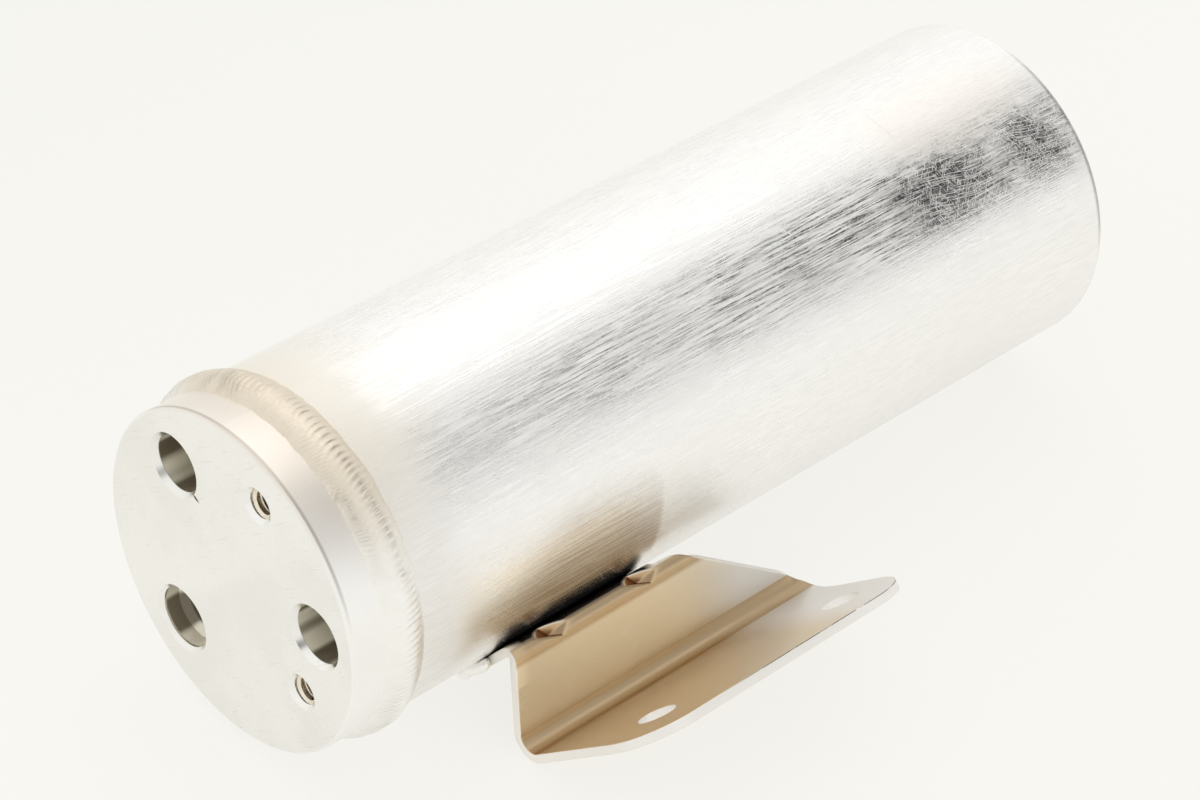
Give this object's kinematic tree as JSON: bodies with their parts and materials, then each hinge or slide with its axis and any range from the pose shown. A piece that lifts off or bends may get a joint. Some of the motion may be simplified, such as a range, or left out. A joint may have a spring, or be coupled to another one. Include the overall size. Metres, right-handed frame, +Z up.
{
  "type": "receiver drier",
  "caption": "Cylindrical aluminium receiver drier with a welded-on ported header and a folded side bracket; it stores, filters and dries refrigerant.",
  "frame": {"origin": "centre of the header's ported face", "axes": "+X along the can from the header's face to the closed end; +Z up as it lies on a table, with the bracket on the -Y side"},
  "size_m": [0.1737, 0.0935, 0.0634],
  "materials": {
    "machined_aluminium": "turned, bright",
    "drawn_aluminium": "drawn, brushed along its length",
    "weld_bead": "as welded, rippled",
    "bracket_sheet": "mill finish",
    "tube_aluminium": "drawn",
    "spring_steel": "zinc plated",
    "cage_plastic": "moulded nylon",
    "screen_mesh": "woven wire",
    "plate_steel": "pressed",
    "felt": "needled felt",
    "beads": "fired beads"
  },
  "bodies": {
    "root": {"header": "machined_aluminium", "can": "drawn_aluminium", "closing_weld": "weld_bead", "mounting_bracket": "bracket_sheet", "bracket_weld_front": "weld_bead", "bracket_weld_rear": "weld_bead", "bracket_weld_edge": "weld_bead", "pickup_tube": "tube_aluminium", "tube_push_ring": "spring_steel", "strainer_cage": "cage_plastic", "strainer_screen": "screen_mesh", "upper_plate": "plate_steel", "lower_plate": "plate_steel", "upper_filter_pad": "felt", "lower_filter_pad": "felt", "desiccant_bed": "beads", "hold_down_spring": "spring_steel"}
  },
  "joints": []
}
